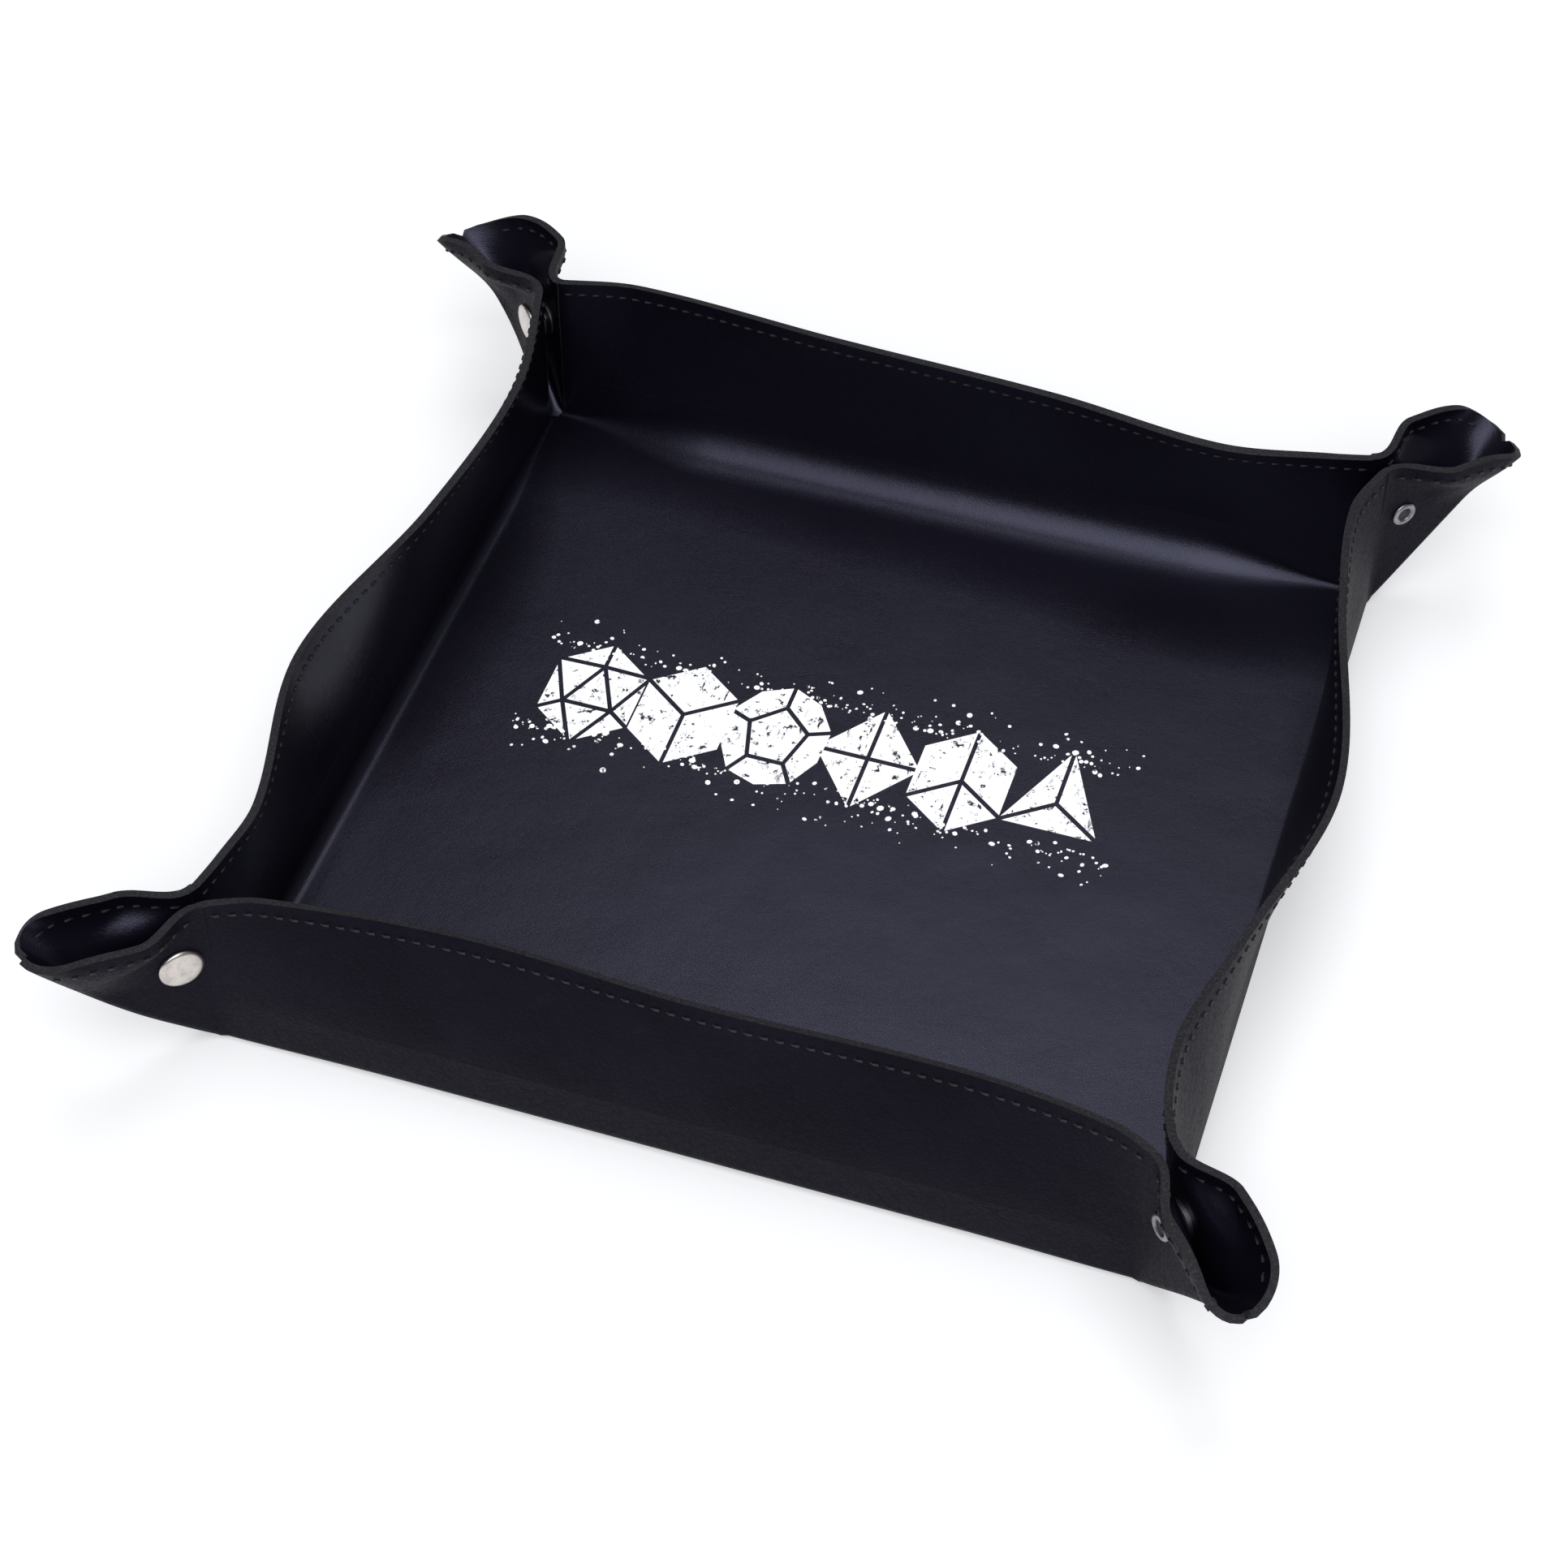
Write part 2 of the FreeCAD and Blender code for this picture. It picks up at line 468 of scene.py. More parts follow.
@dataclass
class Patch:
    """A grid of sheet samples: points in rows, each with its place on the flat sheet."""

    rows: list

    def turned(self, quarter: int) -> "Patch":
        """Return the patch turned to another wall, its flat places turned with it."""
        turn = turn_quarters(quarter)
        flat_turn = Matrix.Rotation(math.pi / 2 * quarter, 2)
        rows = [[(turn @ p, tuple(flat_turn @ Vector(f))) for p, f in row] for row in self.rows]
        return Patch(rows)

    def build(self, name: str, flipped: bool) -> bpy.types.Object:
        """Return the patch as a mesh object, with its faces flipped if asked.

        Args:
            name: the object's name.
            flipped: whether the faces are turned over.

        Returns:
            The new object.
        """
        width = len(self.rows[0])
        points = [p for row in self.rows for p, _ in row]
        flats = [f for row in self.rows for _, f in row]
        faces = []
        for r in range(len(self.rows) - 1):
            for c in range(width - 1):
                a = r * width + c
                quad = (a, a + 1, a + 1 + width, a + width)
                faces.append(tuple(reversed(quad)) if flipped else quad)
        return link_mesh(name, points, faces, flats)


class Layer(Enum):
    """The two bonded layers of the sheet."""

    OUTER = "outer"
    LINER = "liner"


# ---------------------------------------------------------------- the sheet's shape


@dataclass(frozen=True)
class TrayFrame:
    """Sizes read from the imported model, in metres."""

    half: float
    thick: float
    top: float
    ear_gap: float
    snap_out: float
    snap_up: float
    cap_face: float

    @classmethod
    def measured(cls) -> "TrayFrame":
        """Read the sizes from the frame's joints and nodes."""
        joints = {joint["name"]: joint for joint in frame["joints"]}
        fold = joints["front_wall_fold"]["pos_m"]
        ear = joints["right_cap_flap_fold"]["pos_m"]
        half = abs(fold[1])
        low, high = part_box("snap_front_right_cap")
        middle = (low + high) / 2
        out = (middle.x - half - middle.y - half) / ROOT2
        return cls(
            half=half,
            thick=fold[2],
            top=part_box("wall_front_outer")[1].z,
            ear_gap=(ear[1] + half) / ROOT2,
            snap_out=out,
            snap_up=middle.z,
            cap_face=(ear[1] + half) / ROOT2 + fold[2],
        )


@dataclass
class SheetForm:
    """The interface between the sheet's two layers, in the front wall's place."""

    tray: TrayFrame
    floor_reach: float = 91.0 * MM
    fold_end: float = 2.0 * MM
    fold_taper: float = 42.0 * MM
    ear_turn_r: float = 4.0 * MM
    split_z: float = 14.5 * MM
    corner_r: float = 24.0 * MM
    loop_swell: float = 5.6 * MM
    swells: dict = field(default_factory=dict)
    crease_curl: float = 2.3 * MM
    tip_curl: float = 12.0 * MM
    crease_drop: float = 1.22 * MM
    columns: int = 96
    lap: float = 0.15
    tuck: float = 0.04 * MM
    bow_power: float = 1.35
    even_share: float = 0.82
    end_crowding: float = 0.18
    strip_rows: int = 5
    arc_rows: int = 10
    upper_rows: int = 15
    flap_rows: int = 56
    flap_columns: int = 30
    rising_share: float = 0.64
    rising_power: float = 1.25
    crease_round: float = 1.0 * MM
    loop_low: float = 25.0 * MM
    loop_rise: float = 17.0 * MM
    swell_out: float = 9.5 * MM
    swell_draw: float = 8.5 * MM
    swell_draw_z: float = 33.0 * MM
    swell_draw_rise: float = 8.0 * MM
    swell_run: float = 13.0 * MM
    folds: dict = field(default_factory=dict)
    bows: dict = field(default_factory=dict)
    leans: dict = field(default_factory=dict)

    def __post_init__(self) -> None:
        """Work out the lines that the patches share."""
        self.level = self.tray.thick / 2
        self.out = self.tray.half + self.level
        self.ear_line = self.tray.ear_gap + self.level
        cross = self.level - self.ear_line * ROOT2
        self.turn_x = cross - self.ear_turn_r * math.tan(math.pi / 8)
        self.straight = self.tray.half + self.turn_x
        eighth = math.pi / 8
        self.wall_length = self.straight + self.ear_turn_r * (eighth + self.lap)
        self.end_x = self.turn_x + self.ear_turn_r * math.sin(eighth - self.lap)
        self.end_y = self.ear_turn_r * (1 - math.cos(eighth - self.lap))
        self.reach = self.tray.top - self.tray.thick

    # walls

    def fold_radius(self, wall: str, side: float) -> float:
        """Return the fold's radius at a place along the wall, -1 to 1."""
        in_from_end = (1.0 - abs(side)) * self.out
        share = smooth(in_from_end / self.fold_taper)
        return self.fold_end + (self.folds[wall] - self.fold_end) * share

    def along(self, side: float, raised: float) -> tuple:
        """Return (along, extra outward) of a wall column as it rises out of the fold.

        Args:
            side: the place along the wall, -1 to 1.
            raised: how far the column has risen, 0 to 1.

        Returns:
            Both lengths in metres.
        """
        run = abs(side) * self.wall_length
        if run <= self.straight:
            x, extra = run, 0.0
        else:
            angle = (run - self.straight) / self.ear_turn_r
            x = self.straight + self.ear_turn_r * math.sin(angle)
            extra = self.ear_turn_r * (1 - math.cos(angle))
        flat_x = abs(side) * (self.out - self.fold_end)
        x = flat_x + (x - flat_x) * raised
        return math.copysign(x, side), extra * raised

    def floor_sample(self, wall: str, side: float, share: float) -> tuple:
        """Return a sample of the wall patch's floor strip.

        Args:
            wall: the wall's name.
            side: the place along the wall, -1 to 1.
            share: the place across the strip, 0 to 1.

        Returns:
            The point and its flat-sheet place.
        """
        radius = self.fold_radius(wall, side)
        reach = self.out - radius
        mitre = self.floor_reach + (self.out - self.fold_end - self.floor_reach) * share
        y = self.floor_reach + (reach - self.floor_reach) * share
        x = side * mitre
        return Vector((x, -y, self.level)), (x, -y)

    def arc_sample(self, wall: str, side: float, angle: float) -> tuple:
        """Return a sample of the wall's fold at an angle up from the floor.

        Args:
            wall: the wall's name.
            side: the place along the wall, -1 to 1.
            angle: the angle in radians.

        Returns:
            The point and its flat-sheet place.
        """
        radius = self.fold_radius(wall, side)
        raised = math.sin(angle)
        x, extra = self.along(side, raised)
        y = self.out - radius + radius * raised + extra
        z = self.level + radius * (1 - math.cos(angle))
        flat_y = self.out - radius + radius * 2 * angle / (math.pi / 2)
        return Vector((x, -y, z)), (x, -flat_y)

    def wall_sample(self, wall: str, side: float, z: float) -> tuple:
        """Return a sample of the upright wall at a height, bowed above the split line.

        Args:
            wall: the wall's name.
            side: the place along the wall, -1 to 1.
            z: the height.

        Returns:
            The point and its flat-sheet place.
        """
        x, extra = self.along(side, 1.0)
        share = max(0.0, (z - self.split_z) / (self.tray.top - self.split_z))
        push = self.bows[wall](side) * share ** self.bow_power
        y = self.out + extra + push
        return Vector((x, -y, z)), (x, -(self.tray.half + z - self.tray.thick))

    def sides(self) -> list:
        """Return the columns' places along a wall, -1 to 1, closer near the ends."""
        places = []
        for i in range(self.columns + 1):
            t = -1.0 + 2.0 * i / self.columns
            crowded = self.end_crowding * math.sin(t * math.pi / 2)
            places.append(self.even_share * t + crowded)
        return places

    def fold_patch(self, wall: str) -> Patch:
        """Return the wall's floor strip, fold and lower part.

        Args:
            wall: the wall's name.

        Returns:
            The patch, in the front wall's place.
        """
        sides = self.sides()
        rows = []
        for i in range(self.strip_rows):
            rows.append([self.floor_sample(wall, s, i / self.strip_rows) for s in sides])
        for i in range(self.arc_rows + 1):
            angle = math.pi / 2 * i / self.arc_rows
            rows.append([self.arc_sample(wall, s, angle) for s in sides])
        for i in (1, 2):
            row = []
            for s in sides:
                start = self.level + self.fold_radius(wall, s)
                row.append(self.wall_sample(wall, s, start + (self.split_z - start) * i / 2))
            rows.append(row)
        return Patch(rows)

    def upper_patch(self, wall: str) -> Patch:
        """Return the wall above the split line.

        Args:
            wall: the wall's name.

        Returns:
            The patch, in the front wall's place.
        """
        rows = []
        for i in range(self.upper_rows + 1):
            z = self.split_z + (self.tray.top - self.split_z) * i / self.upper_rows
            rows.append([self.wall_sample(wall, s, z) for s in self.sides()])
        return Patch(rows)

    def floor_patch(self) -> Patch:
        """Return the flat middle of the floor."""
        places = [s * self.floor_reach for s in self.sides()]
        rows = []
        for y in reversed(places):
            rows.append([(Vector((x, y, self.level)), (x, y)) for x in places])
        return Patch(rows)

    # ears, in (out along the ear, across the ear, up)

    def ear_start(self, z: float) -> tuple:
        """Return (out, across) where the flap leaves the wall at a height.

        Args:
            z: the height.

        Returns:
            Both lengths in metres.
        """
        rise = min(1.0, max(0.0, (z - self.level) / self.fold_end))
        angle = math.acos(1.0 - rise)
        raised = math.sin(angle)
        flat = self.level - self.fold_end
        x = flat + (self.end_x - flat) * raised
        y = self.level - self.fold_end * (1 - raised) + self.end_y * raised
        return (x + y) / ROOT2, (y - x) / ROOT2

    def crease_out(self, z: float) -> float:
        """Return how far out the ear's crease is at a height."""
        start = -ROOT2 * (self.fold_end - self.level)
        fade = math.exp(-(z - self.level) / self.crease_round)
        drop = (self.level - self.crease_drop - start) * fade
        return z - self.crease_drop - drop

    def flap_across(self, corner: str, out: float, z: float) -> float:
        """Return how far across the ear the flap stands from the ear's middle.

        Args:
            corner: the ear's corner.
            out: the place out along the ear.
            z: the height.

        Returns:
            The distance in metres, never negative.
        """
        start, first = self.ear_start(z)
        crease = self.crease_out(z)
        arc_end = start + self.ear_turn_r * math.sin(math.pi / 8 + self.lap)
        line = self.ear_line
        if out < arc_end and arc_end > start:
            share = (arc_end - out) / (arc_end - start)
            share = max(0.0, min(1.0, share))
            line += (first - self.ear_line) * share ** 2 - self.tuck * share
        high = smooth((z - self.loop_low) / self.loop_rise)
        drawn = smooth((z - self.swell_draw_z) / self.swell_draw_rise)
        first_out = self.swell_out - self.swell_draw * drawn
        widest = self.swells.get(corner, self.loop_swell)
        swell = high * smooth((out - first_out) / self.swell_run) * widest
        curl = self.crease_curl + (self.tip_curl - self.crease_curl) * high
        curl = min(curl, 0.85 * (crease - start))
        past = max(0.0, out - (crease - curl)) / curl
        return (line + swell) * math.sqrt(max(0.0, 1.0 - past * past))

    def flap_end(self, share: float) -> tuple:
        """Return (height, outermost out) of a flap row, rising and then round the corner.

        Args:
            share: the row's place up the flap, 0 to 1.

        Returns:
            Both lengths in metres.
        """
        inner = self.reach - self.corner_r
        arc_z = self.tray.thick + inner + self.corner_r / ROOT2
        rising = self.rising_share
        if share <= rising:
            t = share / rising
            z = self.level + (arc_z - self.level) * t ** self.rising_power
            return z, self.crease_out(z)
        angle = math.pi / 4 * (1.0 - (share - rising) / (1.0 - rising))
        z = self.tray.thick + inner + self.corner_r * math.cos(angle)
        skew = self.tray.thick - self.crease_drop
        return z, inner + self.corner_r * math.sin(angle) + skew

    def flap_place(self, share: float, along: float) -> tuple:
        """Return the (out, height) of a flap sample, closer together near the crease."""
        z, end = self.flap_end(share)
        start, _ = self.ear_start(z)
        return end - (end - start) * (1.0 - along) ** 2, z

    def lean(self, corner: str, out: float) -> float:
        """Return how far an ear leans across itself at a place out along it."""
        past = max(0.0, out - self.tray.snap_out - 5.0 * MM)
        return self.leans.get(corner, 0.0) * (past / (self.reach - 10.0 * MM)) ** 2

    def flap_point(self, corner: str, cap_side: bool, out: float, z: float) -> Vector:
        """Return a flap point in the front right corner's place."""
        sign = 1.0 if cap_side else -1.0
        across = sign * self.flap_across(corner, out, z) + self.lean(corner, out)
        return self.from_ear(out, across, z)

    def flap_patch(self, corner: str, cap_side: bool) -> Patch:
        """Return a flap of an ear in the front right corner's place, on the cap or stud side.

        Args:
            corner: the ear's corner.
            cap_side: whether it is the cap's flap.

        Returns:
            The patch, in the front right corner's place.
        """
        rows = []
        for i in range(self.flap_rows + 1):
            row = []
            for j in range(self.flap_columns + 1):
                out, z = self.flap_place(i / self.flap_rows, j / self.flap_columns)
                flat = self.flat_beside(out, z - self.tray.thick, cap_side)
                row.append((self.flap_point(corner, cap_side, out, z), flat))
            rows.append(row)
        return Patch(rows)

    def flat_beside(self, out: float, up: float, cap_side: bool) -> tuple:
        """Return the flat-sheet place of a flap point."""
        half = self.tray.half
        if cap_side:
            return half + up, -half - out
        return half + out, -half - up

    def from_ear(self, out: float, across: float, z: float) -> Vector:
        """Return a front right ear point in the tray's frame."""
        half = self.tray.half
        return Vector((half + (out + across) / ROOT2, -half + (across - out) / ROOT2, z))


# ---------------------------------------------------------------- sheet pieces


@dataclass
class SheetMaker:
    """Builds the sheet's pieces layer by layer and ties the floor, upper walls and flaps to their
    bodies.
    """

    form: SheetForm
    skins: dict
    edge: bpy.types.Material
    keep: float = 0.02

    def layer_piece(self, patch: Patch, layer: Layer, name: str) -> bpy.types.Object:
        """Return one layer of a patch as a thick piece with its materials.

        Args:
            patch: the surface between the two layers.
            layer: which layer to build.
            name: the piece's name without its layer.

        Returns:
            The new piece.
        """
        item = patch.build(name + "_" + layer.value, flipped=layer is Layer.LINER)
        item.data.materials.append(self.skins[layer])
        item.data.materials.append(self.edge)
        thick = item.modifiers.new("thickness", "SOLIDIFY")
        thick.thickness = self.form.tray.thick / 2
        thick.offset = 1.0
        thick.use_even_offset = False
        thick.material_offset_rim = 1
        split = item.modifiers.new("crisp_edges", "EDGE_SPLIT")
        split.split_angle = math.radians(50.0)
        return item

    def floor(self) -> None:
        """Build the floor's two layers."""
        patch = self.form.floor_patch()
        side = 2 * self.form.floor_reach
        for layer in Layer:
            item = self.layer_piece(patch, layer, "floor")
            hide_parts("base_" + layer.value)
            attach(item, "base")
            LOG.info("built %s", item.name)

    def wall(self, quarter: int) -> None:
        """Build one wall: its soft fold, baked in place, and its upper part, which rides on the
        wall's body.

        Args:
            quarter: quarter turns from the front wall.
        """
        wall = WALLS[quarter]
        form = self.form
        turn = turn_quarters(quarter)
        start = turn @ Vector((0, form.folds[wall] - form.out, form.level))
        end = turn @ Vector((0, -form.out, form.level + form.folds[wall]))
        fold = form.fold_patch(wall).turned(quarter)
        upper = form.upper_patch(wall).turned(quarter)
        width = 2 * form.wall_length
        for layer in Layer:
            low = self.layer_piece(fold, layer, "fold_" + wall)
            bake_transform(low)
            form.split_z + form.out - form.floor_reach
            high = self.layer_piece(upper, layer, "upper_" + wall)
            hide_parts("wall_" + wall + "_" + layer.value)
            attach(high, "wall_" + wall)
            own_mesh(high)
            form.tray.top - form.split_z
            LOG.info("built %s and %s", low.name, high.name)

    def ear(self, quarter: int) -> None:
        """Build the two flaps of one ear.

        Args:
            quarter: quarter turns from the front right corner.
        """
        form = self.form
        after = WALLS[(quarter + 1) % 4]
        for body, cap_side in (("flap_" + after + "_cap", True),
                               ("flap_" + WALLS[quarter] + "_stud", False)):
            sign = 1.0 if cap_side else -1.0
            turn = turn_quarters(quarter)
            axis = turn @ (Vector((1, 1, 0)) * sign / ROOT2)
            anchor = turn @ form.from_ear(0.0, sign * form.ear_line, form.tray.snap_up)
            patch = form.flap_patch(CORNERS[quarter], cap_side).turned(quarter)
            joint = body.replace("flap_", "") + "_flap_fold"
            for layer in Layer:
                item = self.layer_piece(patch, self.facing(layer, cap_side), body)
                item.name = body + "_skin_" + layer.value
                item.data.materials[0] = self.skins[layer]
                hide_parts(body + "_" + layer.value)
                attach(item, body)
                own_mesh(item)
                square = form.reach
                cut = (1.0 - math.pi / 4) * form.corner_r ** 2
                0.5 * (square * square - cut)
            LOG.info("built the flap %s", body)

    def facing(self, layer: Layer, cap_side: bool) -> Layer:
        """Return the layer whose face direction suits this side's winding."""
        if not cap_side:
            return layer
        return Layer.LINER if layer is Layer.OUTER else Layer.OUTER


# ---------------------------------------------------------------- bowing of the walls


def bow_line(*marks: tuple) -> Callable[[float], float]:
    """Return a wall's outward bow along its length, zero at both ends.

    Args:
        marks: (place along the wall from -1 to 1, outward push in millimetres), in order.

    Returns:
        A function of the place along the wall, in metres, smooth through the marks.
    """
    stops = [(-1.0, 0.0), *marks, (1.0, 0.0)]
    last = len(stops) - 1
    slopes = []
    for i in range(len(stops)):
        (a, low), (b, high) = stops[max(0, i - 1)], stops[min(last, i + 1)]
        slopes.append((high - low) / (b - a))

    def bow(side: float) -> float:
        """Return the outward push at a place along the wall.

        Args:
            side: the place along the wall, -1 to 1.

        Returns:
            The push in metres.
        """
        i = 0
        while i < last - 1 and side > stops[i + 1][0]:
            i += 1
        (a, low), (b, high) = stops[i], stops[i + 1]
        width = b - a
        t = (side - a) / width
        ease = t * t * (3.0 - 2.0 * t)
        tilt = slopes[i] * t * (1.0 - t) ** 2 - slopes[i + 1] * t * t * (1.0 - t)
        return (low + (high - low) * ease + width * tilt) * MM

    return bow


WALL_BOWS = {
    "front": bow_line((-0.88, -4.8), (-0.45, -8.8), (0.05, -6.8), (0.6, -7.6), (0.9, -4.2)),
    "right": bow_line((-0.9, -3.8), (-0.72, -5.2), (-0.45, 1.0), (0.0, 10.5), (0.55, -0.5),
                      (0.85, -4.4)),
    "back": bow_line((-0.9, -2.6), (-0.65, -7.4), (-0.25, -2.4), (0.3, 0.6), (0.8, 4.2)),
    "left": bow_line((-0.65, -7.6), (-0.2, -4.0), (0.3, 6.2), (0.74, -3.2), (0.9, -1.8)),
}
FOLD_RADII = {"front": 3.0 * MM, "right": 2.6 * MM, "back": 12.0 * MM, "left": 4.5 * MM}
EAR_LEANS = {"front_right": -5.0 * MM, "back_left": 14.0 * MM, "front_left": -12.0 * MM}
EAR_SWELLS = {"back_left": 7.6 * MM, "back_right": 7.2 * MM}


# ---------------------------------------------------------------- stitches


def copies(source: bpy.types.Object, name: str, places: Sequence[Matrix]) -> bpy.types.Object:
    """Return one object made of copies of a small shape, one at each place.

    Args:
        source: the small object that is repeated.
        name: the new object's name.
        places: one matrix for each copy.

    Returns:
        The new object, with its own mesh.
    """
    points, faces = [], []
    rest = [v.co.copy() for v in source.data.vertices]
    loops = [tuple(p.vertices) for p in source.data.polygons]
    for place in places:
        first = len(points)
        points.extend(place @ p for p in rest)
        faces.extend(tuple(first + i for i in loop) for loop in loops)
    return link_mesh(name, points, faces)


def frame_at(place: Vector, along: Vector, out: Vector) -> Matrix:
    """Return the matrix that puts +X along one direction and +Z out along another.

    Args:
        place: where the origin goes.
        along: the direction that +X takes.
        out: the direction that +Z takes, as near as +X allows.

    Returns:
        The matrix.
    """
    x = along.normalized()
    z = (out - out.dot(x) * x).normalized()
    y = z.cross(x)
    turn = Matrix((x, y, z)).transposed().to_4x4()
    return Matrix.Translation(place) @ turn


@dataclass
class Seams:
    """The rows of stitches just inside the sheet's free edges, on both faces."""

    form: SheetForm
    thread: bpy.types.Material
    pitch: float = 3.3 * MM
    inset: float = 3.0 * MM
    length: float = 2.3 * MM
    width: float = 0.62 * MM
    proud: float = 0.08 * MM
    nudge: float = 0.2 * MM

    def stitch(self) -> bpy.types.Object:
        """Model one stitch along X: a short thread with pinched, dipping ends."""
        deselect_all()
        bpy.ops.mesh.primitive_cylinder_add(vertices=6, radius=self.width / 2,
                                            depth=self.length * 0.6)
        item = bpy.context.object
        item.name = "stitch"
        bpy.ops.object.mode_set(mode="EDIT")
        bpy.ops.mesh.select_all(action="SELECT")
        bpy.ops.transform.rotate(value=math.pi / 2, orient_axis="Y", center_override=(0, 0, 0))
        bpy.ops.object.mode_set(mode="OBJECT")
        for side in (-1.0, 1.0):
            for face in item.data.polygons:
                face.select = face.normal.x * side > 0.9
            bpy.ops.object.mode_set(mode="EDIT")
            bpy.ops.mesh.select_mode(type="FACE")
            move = {"value": (side * self.length * 0.2, 0.0, -self.width * 0.3)}
            bpy.ops.mesh.extrude_region_move(TRANSFORM_OT_translate=move)
            bpy.ops.transform.resize(value=(1.0, 0.55, 0.55))
            bpy.ops.object.mode_set(mode="OBJECT")
        return item

    def sew(self, name: str, source: bpy.types.Object, places: Sequence[Matrix], body: str,
            node: str) -> bpy.types.Object:
        """Return one row of stitches riding on its body in place of the plain thread.

        Args:
            name: the row's name.
            source: the stitch to repeat.
            places: one matrix for each stitch.
            body: the body it rides on.
            node: the plain thread that it replaces.

        Returns:
            The new row.
        """
        item = copies(source, name, places)
        item.data.materials.append(self.thread)
        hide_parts(node)
        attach(item, body)
        LOG.info("sewed %s", name)
        return item

    def wall_places(self, quarter: int, face: float) -> list:
        """Return the stitch places of a wall's top edge on one face, 1 outer or -1 inner.

        Args:
            quarter: quarter turns from the front wall.
            face: the face, 1 or -1.

        Returns:
            One matrix for each stitch.
        """
        form = self.form
        wall = WALLS[quarter]
        z = form.tray.top - self.inset
        count = int(2 * form.tray.half * 0.985 / self.pitch)
        step = 1.97 / count
        turn = turn_quarters(quarter)
        places = []
        for i in range(count):
            side = -0.985 + step * (i + 0.5)
            here = form.wall_sample(wall, side, z)[0]
            along = form.wall_sample(wall, side + 0.004, z)[0] - here
            up = form.wall_sample(wall, side, z + self.nudge)[0] - here
            out = along.cross(up).normalized() * face
            spot = here + out * (form.level + self.proud)
            places.append(turn @ frame_at(spot, along, out))
        return places

    def edge_line(self) -> list:
        """Return the (out, height) points along a flap's free edge, one per stitch."""
        form = self.form
        inner = form.reach - form.corner_r
        radius = form.corner_r - self.inset
        straight = int((inner - 1.5 * MM) / self.pitch)
        line = [(1.5 * MM + self.pitch * (i + 0.5), form.tray.top - self.inset)
                for i in range(straight)]
        turns = int(radius * math.pi / 4 * 0.8 / self.pitch) + 1
        for i in range(turns):
            angle = math.pi / 4 * (i + 0.4) / (turns + 0.6)
            line.append((inner + radius * math.sin(angle) + form.tray.thick * 0.4,
                         form.tray.thick + inner + radius * math.cos(angle)))
        return line

    def flap_places(self, quarter: int, cap_side: bool, face: float) -> list:
        """Return the stitch places of a flap's edge on one face, 1 outer or -1 inner.

        Args:
            quarter: quarter turns from the front right corner.
            cap_side: whether it is the cap's flap.
            face: the face, 1 or -1.

        Returns:
            One matrix for each stitch.
        """
        form = self.form
        corner = CORNERS[quarter]
        turn = turn_quarters(quarter)
        line = self.edge_line()
        hand = face if cap_side else -face
        places = []
        for i, (out, z) in enumerate(line):
            far_out, far_z = line[i + 1] if i + 1 < len(line) else line[i]
            near_out, near_z = line[i - 1] if i else line[i]
            here = form.flap_point(corner, cap_side, out, z)
            along = (form.flap_point(corner, cap_side, far_out, far_z)
                     - form.flap_point(corner, cap_side, near_out, near_z))
            across = form.flap_point(corner, cap_side, out + self.nudge, z) - here
            up = form.flap_point(corner, cap_side, out, z + self.nudge) - here
            normal = up.cross(across).normalized() * hand
            spot = here + normal * (form.level + self.proud)
            places.append(turn @ frame_at(spot, along, normal))
        return places

    def build(self) -> None:
        """Sew every row."""
        form = self.form
        source = self.stitch()
        lift = form.level + self.proud
        for quarter, wall in enumerate(WALLS):
            turn = turn_quarters(quarter)
            outward = turn @ Vector((0, -1, 0))
            after = WALLS[(quarter + 1) % 4]
            for face, word in ((1.0, "outer"), (-1.0, "inner")):
                row = self.sew("seam_" + wall + "_" + word, source,
                               self.wall_places(quarter, face), "wall_" + wall,
                               "thread_wall_" + wall)
                outward * (form.out + face * lift)
                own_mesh(row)
                for body, cap_side in ((after + "_cap", True), (wall + "_stud", False)):
                    sign = 1.0 if cap_side else -1.0
                    axis = turn @ (Vector((1, 1, 0)) * sign / ROOT2)
                    anchor = turn @ form.from_ear(0.0, sign * (form.ear_line + face * lift), 0.0)
                    row = self.sew("seam_" + body + "_" + word, source,
                                   self.flap_places(quarter, cap_side, face), "flap_" + body,
                                   "thread_flap_" + body)
                    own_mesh(row)
        bpy.data.objects.remove(source)


# ---------------------------------------------------------------- snaps


